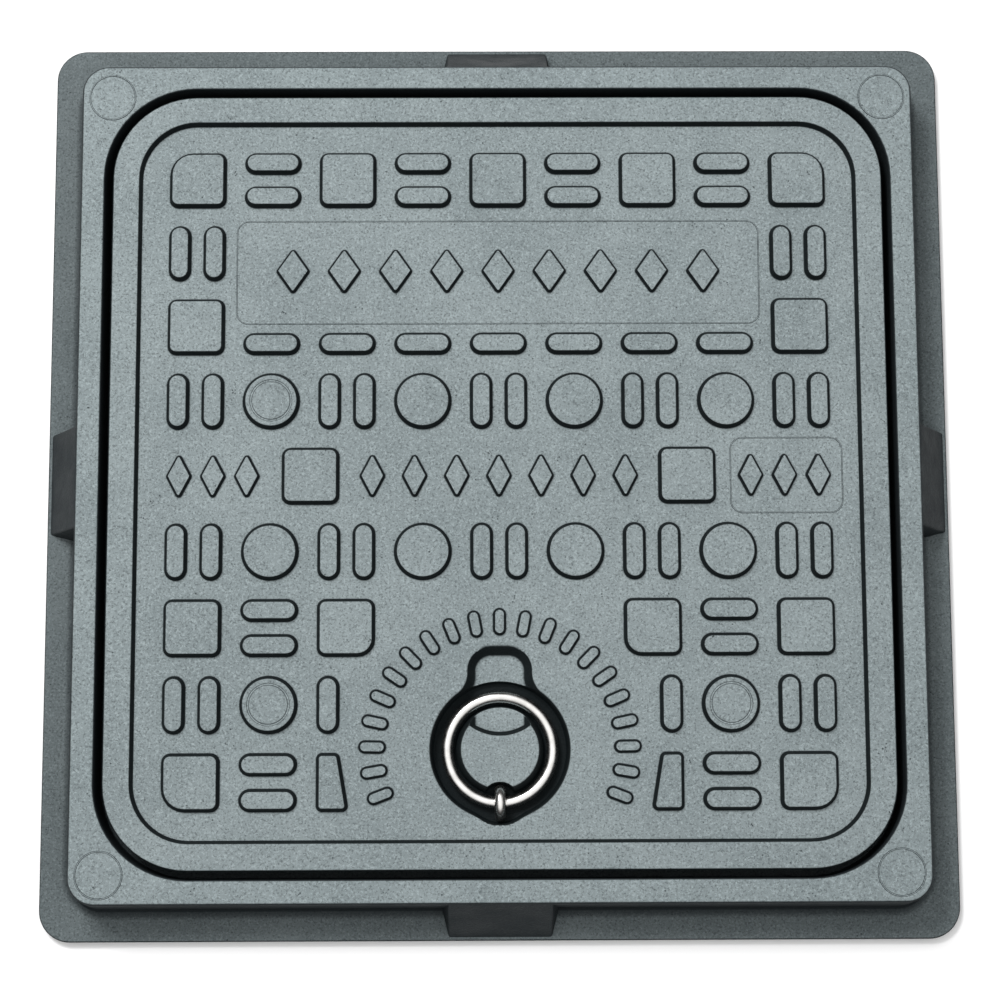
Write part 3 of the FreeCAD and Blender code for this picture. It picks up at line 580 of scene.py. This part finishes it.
def fill_underside(bm, outer):
    """Ribs and cells under the cover, the solid boss under the keyhole, the plate's pocket."""
    inside = 2 * (COVER_HALF - RIM_WALL)
    pitch = inside / CELL_COUNT
    side = pitch - RIB
    boss_reach = RECESS_RADIUS + RIB
    boss_far = SLOT_END + RIB
    last = (CELL_COUNT - 1) / 2
    cell_corner, outer_corner = 3, side * 0.7
    mouths = []
    for row in range(CELL_COUNT):
        for column in range(CELL_COUNT):
            x, y = (column - last) * pitch, (row - last) * pitch
            if abs(x) - side / 2 < boss_reach and y - side / 2 < boss_far:
                continue
            radii = [cell_corner] * 4
            if abs(column - last) == last and abs(row - last) == last:
                order = ((-1, -1), (1, -1), (1, 1), (-1, 1))
                radii[order.index((np.sign(x), np.sign(y)))] = outer_corner
            arcs = box_outline(x, y, side, side, radii)
            mouths.append(add_cell(bm, arcs, CELL_DEPTH, 4, COVER_BASE))
    room, pocket_corner, pocket_depth = 1.2, 3.6, 3
    plate_x = PLATE_HIGH[0] - PLATE_LOW[0] + room
    plate_y = PLATE_HIGH[1] - PLATE_LOW[1] + room
    arcs = box_outline(0, HINGE_Y, plate_x, plate_y, [pocket_corner] * 4)
    mouths.append(add_cell(bm, arcs, pocket_depth, 5, COVER_BASE))
    fill(bm, outer, mouths, flat_at(COVER_BASE), facing=-1)


# ---------------------------------------------------------------- frame

def make_frame():
    """Flange, collar, seat with its seal groove, clear way, cored underside and gussets."""
    bm = bmesh.new()
    fine = 14
    flange = square_outline(FLANGE_HALF, FLANGE_CORNER)
    collar = square_outline(COLLAR_HALF, COLLAR_CORNER)
    opening = square_outline(OPENING_HALF, OPENING_CORNER)
    clear = square_outline(CLEAR_HALF, CLEAR_CORNER)
    root = (TOP - FLANGE_THICKNESS) * COLLAR_DRAFT
    groove_out = SEAL_HIGH[0] + SEAL_CLEARANCE - OPENING_HALF
    groove_in = groove_out - SEAL_GROOVE_WIDTH
    groove = SEAL_LOW[2]
    outer_profile = rounded_profile(
        [(-2, 0), (0, 0), (0, FLANGE_THICKNESS), (-4, FLANGE_THICKNESS)], [0.5, 1.0], 4)
    collar_profile = rounded_profile(
        [(root + 5, FLANGE_THICKNESS), (root, FLANGE_THICKNESS), (0, TOP), (-3, TOP)],
        [3, 1.3], 5)
    opening_profile = rounded_profile(
        [(2.5, TOP), (0, TOP), (0, SEAT), (groove_out, SEAT), (groove_out, groove),
         (groove_in, groove), (groove_in, SEAT), (groove_in - 1.5, SEAT)],
        [1.0, 0.8, 0.3, 0.3, 0.3, 0.3], 3)
    clear_profile = rounded_profile([(1.5, SEAT), (0, SEAT), (0, 0), (1.5, 0)], [0.6, 0.5], 3)
    loops = []
    for arcs, profile in ((flange, outer_profile), (collar, collar_profile),
                          (opening, opening_profile), (clear, clear_profile)):
        loops += [[(x, y, z) for x, y in loop(arcs, offset, fine)] for offset, z in profile]
    add_loops(bm, loops)
    fill_frame_base(bm, loop(flange, -2, fine), loop(clear, 1.5, fine))
    piece = mesh_object("frame_moulding", bm, weighted=False)
    add_gussets(piece)
    add_ejector_marks(piece.data)
    mark_creases(piece.data, math.radians(34))
    even_shading(piece)
    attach(piece, "frame")
    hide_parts("frame")
    return piece


def fill_frame_base(bm, outer, inner):
    """Underside of the frame with its cored cells."""
    near = CLEAR_HALF + CORE_WALL
    far = COLLAR_HALF - CORE_WALL
    pitch = 2 * (CLEAR_HALF - CLEAR_CORNER) / CORE_COUNT
    middle = (near + far) / 2
    mouths = [inner]
    for turn in range(4):
        for i in range(CORE_COUNT):
            along = (i - (CORE_COUNT - 1) / 2) * pitch
            x, y = ((along, middle), (middle, along), (along, -middle), (-middle, along))[turn]
            sides = (pitch - CORE_WALL, far - near)
            width, depth = sides if turn % 2 == 0 else sides[::-1]
            mouths.append(add_cell(bm, box_outline(x, y, width, depth, [2] * 4),
                                   CORE_DEPTH, 3, 0))
    fill(bm, outer, mouths, flat_at(0), facing=-1)


def add_gussets(piece):
    """Join a wedge with rounded edges to the middle of each side of the frame."""
    bm = bmesh.new()
    top, foot, rounding = TOP - 1, 0.5, 1.0
    head, toe, back = COLLAR_HALF, FLANGE_HALF - 0.05, COLLAR_HALF - 4
    toe_height, toe_spread = GUSSET_TOE + 0.3, 0.2
    for turn in range(4):
        rotation = Matrix.Rotation(turn * QUARTER, 3, "Z")
        sides = []
        for sign in (-1, 1):
            x, x_toe = sign * GUSSET_HALF, sign * (GUSSET_HALF + toe_spread)
            x_foot = sign * (GUSSET_HALF + GUSSET_SPREAD)
            corners = ((x, -back, top), (x, -head, top), (x, -toe, toe_height),
                       (x_toe, -toe, foot), (x_foot, -head, foot), (x_foot, -back, foot))
            sides.append([bm.verts.new(rotation @ Vector(corner)) for corner in corners])
        left, right = sides
        for i in range(6):
            j = (i + 1) % 6
            bm.faces.new((left[i], left[j], right[j], right[i]))
        bm.faces.new(left[::-1])
        bm.faces.new(right)
    bmesh.ops.recalc_face_normals(bm, faces=bm.faces)
    bmesh.ops.bevel(bm, geom=list(bm.edges), offset=rounding, segments=4, profile=0.5,
                    affect="EDGES", clamp_overlap=True)
    wedges = mesh_object("wedges", bm, weighted=False)
    union = piece.modifiers.new("wedges", "BOOLEAN")
    union.operation = "UNION"
    union.solver = "EXACT"
    union.object = wedges
    graph = bpy.context.evaluated_depsgraph_get()
    joined = bpy.data.meshes.new_from_object(piece.evaluated_get(graph))
    piece.modifiers.clear()
    piece.data = joined
    joined.shade_smooth()
    bpy.data.objects.remove(wedges, do_unlink=True)


def add_ejector_marks(mesh):
    """Faint rings left by the mould in the collar's corners."""
    marks = bmesh.new()
    for x, y in EJECTOR_PLACES:
        add_ridge(marks, circle_outline(x, y, EJECTOR_RADIUS), 0.6, 0.25, 12, TOP)
    rings = mesh_object("rings", marks, weighted=False)
    bm = bmesh.new()
    bm.from_mesh(mesh)
    bm.from_mesh(rings.data)
    bm.to_mesh(mesh)
    bm.free()
    bpy.data.objects.remove(rings, do_unlink=True)


def mark_creases(mesh, angle):
    """Keep the shading crisp at edges that turn by more than an angle."""
    bm = bmesh.new()
    bm.from_mesh(mesh)
    for edge in bm.edges:
        edge.smooth = len(edge.link_faces) < 2 or edge.calc_face_angle() < angle
    bm.to_mesh(mesh)
    bm.free()


# ---------------------------------------------------------------- ring and staple

def tube(bm, stations, sides, closed=False):
    """Round wire through stations of (centre, two unit vectors across it, radius)."""
    rows = []
    for centre, one, other, radius in stations:
        turns = [2 * math.pi * k / sides for k in range(sides)]
        rows.append([bm.verts.new(centre + one * radius * math.cos(turn)
                                  + other * radius * math.sin(turn)) for turn in turns])
    following = rows[1:] + rows[:1] if closed else rows[1:]
    for row, after in zip(rows, following):
        for k in range(sides):
            j = (k + 1) % sides
            bm.faces.new((row[k], row[j], after[j], after[k]))
    if not closed:
        bm.faces.new(rows[0][::-1])
        bm.faces.new(rows[-1])


def make_ring():
    """Closed ring of round wire."""
    bm = bmesh.new()
    around = 160
    middle, up = Vector((0, RING_Y, RING_Z)), Vector((0, 0, 1))
    stations = []
    for i in range(around):
        angle = 2 * math.pi * i / around
        out = Vector((math.cos(angle), math.sin(angle), 0))
        stations.append((middle + out * RING_RADIUS, out, up, RING_WIRE / 2))
    tube(bm, stations, 32, closed=True)
    piece = mesh_object("ring_wire", bm, weighted=False)
    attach(piece, "lifting_ring")
    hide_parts("lifting_ring")
    return piece


def staple_leg(sign):
    """Stations up one leg of the staple: a chamfered end, a fine thread and the plain wire."""
    radius = STAPLE_WIRE / 2
    thread_top = PLATE_LOW[2] - 0.2
    thread_pitch, thread_depth, chamfer = 0.8, 0.3, 0.6
    wave = (0, 0.5, 1, 0.5)
    across, out = Vector((1, 0, 0)), Vector((0, sign, 0))
    y = HINGE_Y + sign * STAPLE_BEND
    stations = []
    for i, z in enumerate(np.arange(STAPLE_LOW[2], thread_top, thread_pitch / 4)):
        cut = thread_depth * wave[i % 4] if i else chamfer
        stations.append((Vector((0, y, z)), across, out, radius - cut))
    stations.append((Vector((0, y, thread_top + 0.3)), across, out, radius))
    return stations


def make_staple():
    """U of wire whose legs carry a fine thread where the nuts sit."""
    bm = bmesh.new()
    bend_steps = 32
    middle, across = Vector((0, HINGE_Y, RING_Z)), Vector((1, 0, 0))
    stations = staple_leg(-1)
    for i in range(bend_steps + 1):
        angle = math.pi - math.pi * i / bend_steps
        out = Vector((0, math.cos(angle), math.sin(angle)))
        stations.append((middle + out * STAPLE_BEND, across, out, STAPLE_WIRE / 2))
    stations += staple_leg(1)[::-1]
    tube(bm, stations, 28)
    piece = mesh_object("staple_wire", bm)
    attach(piece, "cover")
    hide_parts("ring_staple")
    return piece


# ---------------------------------------------------------------- materials

class Nodes:
    """Short way to add and join shader nodes."""

    def __init__(self, name):
        self.material = bpy.data.materials.new(name)
        self.material.use_nodes = True
        self.tree = self.material.node_tree
        self.shader = self.tree.nodes["Principled BSDF"]
        self.place = self.add("ShaderNodeTexCoord").outputs["Object"]

    def add(self, kind, **values):
        node = self.tree.nodes.new(kind)
        for key, value in values.items():
            setattr(node, key, value)
        return node

    def join(self, output, target):
        self.tree.links.new(output, target)

    def split(self, vector):
        """Outputs X, Y and Z of a vector."""
        node = self.add("ShaderNodeSeparateXYZ")
        self.join(vector, node.inputs[0])
        return node.outputs

    def noise(self, scale, detail=4.0, roughness=0.6):
        node = self.add("ShaderNodeTexNoise")
        self.join(self.place, node.inputs["Vector"])
        node.inputs["Scale"].default_value = scale
        node.inputs["Detail"].default_value = detail
        node.inputs["Roughness"].default_value = roughness
        return node.outputs["Fac"]

    def cells(self, scale):
        node = self.add("ShaderNodeTexVoronoi")
        self.join(self.place, node.inputs["Vector"])
        node.inputs["Scale"].default_value = scale
        return node.outputs["Distance"]

    def spread(self, value, low, high, to_low=0.0, to_high=1.0):
        node = self.add("ShaderNodeMapRange", interpolation_type="SMOOTHSTEP")
        self.join(value, node.inputs["Value"])
        for socket, number in zip(("From Min", "From Max", "To Min", "To Max"),
                                  (low, high, to_low, to_high)):
            node.inputs[socket].default_value = number
        return node.outputs["Result"]

    def combine(self, one, other, operation="ADD"):
        node = self.add("ShaderNodeMath", operation=operation)
        for socket, value in zip(node.inputs, (one, other)):
            if isinstance(value, (int, float)):
                socket.default_value = value
            else:
                self.join(value, socket)
        return node.outputs[0]

    def mix(self, share, one, other, blend_type="MIX"):
        node = self.add("ShaderNodeMix", data_type="RGBA", blend_type=blend_type)
        for index, value in ((0, share), (6, one), (7, other)):
            if isinstance(value, (int, float)):
                node.inputs[index].default_value = value
            elif isinstance(value, tuple):
                node.inputs[index].default_value = (*value, 1)
            else:
                self.join(value, node.inputs[index])
        return node.outputs[2]

    def bump(self, height, strength, distance, below=None):
        node = self.add("ShaderNodeBump")
        self.join(height, node.inputs["Height"])
        node.inputs["Strength"].default_value = strength
        node.inputs["Distance"].default_value = distance
        if below:
            self.join(below, node.inputs["Normal"])
        return node.outputs["Normal"]

    def finish(self, color, roughness, normal):
        self.join(color, self.shader.inputs["Base Color"])
        self.join(roughness, self.shader.inputs["Roughness"])
        self.join(normal, self.shader.inputs["Normal"])
        return self.material


def tint(color, factor):
    return tuple(channel * factor for channel in color)


def composite(name, light, dark, pit_and_shade_color, wall_shade, hollow_shade_levels, foot=None):
    """Rough moulded composite: mottled grey, with painted shade darkening its hollows and its
    steep walls.

    wall_shade is how dark the painted shade on the steep walls is. hollow_shade_levels is the
    level where painted shade in hollows starts, the level where it is darkest, and how dark. foot
    is passed to foot_shade().
    """
    n = Nodes(name)
    mottle = n.spread(n.noise(24, 5, 0.62), 0.32, 0.68)
    base = n.mix(mottle, dark, light)
    # Pale grains, dark grains and scuffs: noise, where it shows, how much and its colour
    for noise, low, high, share, color in (
            ((1050, 3, 0.75), 0.48, 0.66, 0.75, tint(light, 1.45)),
            ((1150, 3, 0.7), 0.5, 0.66, 0.75, tint(dark, 0.45)),
            ((75, 6, 0.75), 0.6, 0.72, 0.35, tint(dark, 0.7))):
        base = n.mix(n.spread(n.noise(*noise), low, high, 0.0, share), base, color)
    # Dark pits take the same near-black colour that also paints the shade.
    pits = n.spread(n.cells(620), 0.12, 0.3, 1.0, 0.0)
    some = n.spread(n.noise(150, 2), 0.61, 0.69)
    pits = n.combine(pits, some, "MULTIPLY")
    base = n.mix(n.combine(pits, 0.8, "MULTIPLY"), base, pit_and_shade_color)
    # Painted shade: steep walls and low hollows that face up take the near-black colour in place
    # of the shade that falls there.
    normal = n.split(n.add("ShaderNodeNewGeometry").outputs["Normal"])
    place = n.split(n.place)
    level = n.combine(normal["Z"], 0.0, "ABSOLUTE")
    steep_shade = n.spread(level, 0.78, 0.995, wall_shade, 0.0)
    start, full, share = hollow_shade_levels
    hollow_shade = n.spread(place["Z"], full * MM, start * MM, share, 0.0)
    # On the frame, painted shade also darkens the flange along the collar's foot.
    if foot:
        hollow_shade = n.combine(hollow_shade, foot_shade(n, place, *foot), "MAXIMUM")
    facing_up = n.spread(normal["Z"], 0.0, 0.2)
    hollow_shade = n.combine(hollow_shade, facing_up, "MULTIPLY")
    base = n.mix(n.combine(steep_shade, hollow_shade, "MAXIMUM"), base, pit_and_shade_color)
    grain = n.bump(n.noise(1000, 3, 0.7), 0.8, 0.00028)
    lumps = n.bump(n.noise(190, 3, 0.5), 0.4, 0.0006, grain)
    dimples = n.bump(pits, -0.7, 0.0003, lumps)
    rough = n.spread(n.noise(60, 4), 0.3, 0.7, 0.52, 0.7)
    n.shader.inputs["Specular IOR Level"].default_value = 0.07
    return n.finish(base, rough, dimples)


def foot_shade(n, place, half, corner, width, share):
    """Painted shade along the foot of a round-cornered square wall, fading out over a width."""
    past = []
    for axis in "XY":
        from_middle = n.combine(place[axis], 0.0, "ABSOLUTE")
        beyond = n.combine(from_middle, (half - corner) * MM, "SUBTRACT")
        past.append(n.combine(beyond, 0.0, "MAXIMUM"))
    squares = [n.combine(value, 2.0, "POWER") for value in past]
    distance = n.combine(n.combine(*squares), 0.5, "POWER")
    near = n.spread(distance, corner * MM, (corner + width) * MM, share, 0.0)
    low = n.spread(place["Z"], 12 * MM, 14 * MM, 1.0, 0.0)
    return n.combine(near, low, "MULTIPLY")


def steel(name, color, low, high, scratch_scale, stain):
    """Stainless wire or sheet with handling scratches and a few dull stains."""
    n = Nodes(name)
    cloud = n.spread(n.noise(180, 4), 0.35, 0.7)
    base = n.mix(n.combine(cloud, stain, "MULTIPLY"), color, tint(color, 0.45))
    n.shader.inputs["Metallic"].default_value = 1.0
    rough = n.spread(n.noise(420, 4, 0.7), 0.3, 0.75, low, high)
    return n.finish(base, rough, n.bump(n.noise(scratch_scale, 3, 0.7), 0.12, 0.0001))


def rubber(name):
    """Matt black rubber with a little pale dust."""
    n = Nodes(name)
    dust = n.spread(n.noise(90, 4), 0.35, 0.7)
    base = n.mix(dust, (0.018, 0.018, 0.019), (0.045, 0.045, 0.047))
    rough = n.spread(n.noise(300, 3), 0.3, 0.7, 0.62, 0.85)
    return n.finish(base, rough, n.bump(n.noise(1600, 2), 0.3, 0.0001))


def dress(piece, material):
    """Give every face of a piece one material."""
    piece.data.materials.clear()
    piece.data.materials.append(material)


def dress_node(node, material):
    """Put a material in a CAD node's own slots."""
    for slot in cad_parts[node].material_slots:
        slot.material = material


# ---------------------------------------------------------------- stage, light and camera

def floor_material():
    n = Nodes("pale_floor")
    base = n.mix(n.noise(4, 2), (0.93, 0.93, 0.93), (0.96, 0.96, 0.96))
    rough = n.spread(n.noise(20, 2), 0.3, 0.7, 0.85, 0.95)
    return n.finish(base, rough, n.bump(n.noise(400, 2), 0.02, 0.0001))


def add_stage():
    """Wide floor just under the flange."""
    below = FRAME_LOW[2] * MM - 0.0002
    bpy.ops.mesh.primitive_plane_add(size=60, location=(0, 0, below))
    floor = bpy.context.object
    floor.name = "floor"
    dress(floor, floor_material())


def add_sky():
    """Studio surround: an even white ceiling that falls off to dark walls near the floor."""
    world = bpy.data.worlds.new("studio")
    bpy.context.scene.world = world
    world.use_nodes = True
    nodes = world.node_tree.nodes
    links = world.node_tree.links
    direction = nodes.new("ShaderNodeTexCoord")
    split = nodes.new("ShaderNodeSeparateXYZ")
    links.new(direction.outputs["Generated"], split.inputs[0])
    ramp_node = nodes.new("ShaderNodeMapRange")
    ramp_node.interpolation_type = "SMOOTHSTEP"
    links.new(split.outputs["Z"], ramp_node.inputs["Value"])
    for socket, number in (("From Min", DARK_BELOW), ("From Max", BRIGHT_ABOVE),
                           ("To Min", WALL_LIGHT), ("To Max", CEILING_LIGHT)):
        ramp_node.inputs[socket].default_value = number
    background = nodes["Background"]
    background.inputs["Color"].default_value = (1, 1, 1, 1)
    links.new(ramp_node.outputs["Result"], background.inputs["Strength"])


def add_lamp(place, width, power):
    """Soft square lamp that points at the middle of the object."""
    lamp = bpy.data.lights.new("key", "AREA")
    lamp.shape = "SQUARE"
    lamp.size = width
    lamp.energy = power
    holder = bpy.data.objects.new("key", lamp)
    holder.location = place
    holder.rotation_euler = (-Vector(place)).to_track_quat("-Z", "Y").to_euler()
    bpy.context.scene.collection.objects.link(holder)


def add_camera():
    """Camera almost straight above, leaning a little towards the ring's side."""
    roll, sway, lean = 0.003067, 0.008042, -0.142856
    turn = (Matrix.Rotation(roll, 3, "Z") @ Matrix.Rotation(sway, 3, "Y")
            @ Matrix.Rotation(lean, 3, "X"))
    to_middle = Vector((-0.4359, 10.426, -997.15))  # of the cover's top, as the camera sees it
    place = Vector((0, 0, TOP)) - turn.transposed() @ to_middle
    camera = bpy.data.cameras.new("camera")
    camera.sensor_width = 36
    camera.lens = 87.15
    holder = bpy.data.objects.new("camera", camera)
    holder.matrix_world = Matrix.Translation(place * MM) @ turn.transposed().to_4x4()
    bpy.context.scene.collection.objects.link(holder)
    bpy.context.scene.camera = holder


# ---------------------------------------------------------------- the scene

# Both greys paint near-black shade on steep walls and in low hollows; the frame's grey also paints
# it along its collar's foot.
lid_grey = composite("moulded_grey", (0.225, 0.262, 0.269), (0.185, 0.219, 0.226),
                     (0.006, 0.009, 0.010), wall_shade=0.98, hollow_shade_levels=(22.2, 20.8, 1.0))
frame_grey = composite("frame_grey", (0.224, 0.262, 0.269), (0.184, 0.218, 0.225),
                       (0.007, 0.010, 0.012), wall_shade=0.94, hollow_shade_levels=(16, 4, 0.5),
                       foot=(178, 15, 7, 0.85))
bright_steel = steel("bright_wire", (0.72, 0.71, 0.69), 0.2, 0.34, 700, 0.35)
plain_steel = steel("plain_fastener", (0.6, 0.61, 0.62), 0.28, 0.45, 1200, 0.6)

dress(make_cover(), lid_grey)
dress(make_frame(), frame_grey)
dress(make_ring(), bright_steel)
dress(make_staple(), bright_steel)
dress_node("cover_seal", rubber("seal_black"))
for part in ("backing_plate", "washer_inner", "washer_outer", "nut_inner", "nut_outer"):
    dress_node("staple_" + part, plain_steel)

add_stage()
add_sky()
add_lamp((-0.55, 0.75, 1.5), width=0.5, power=22)
add_camera()
bpy.context.scene.view_settings.view_transform = "Standard"
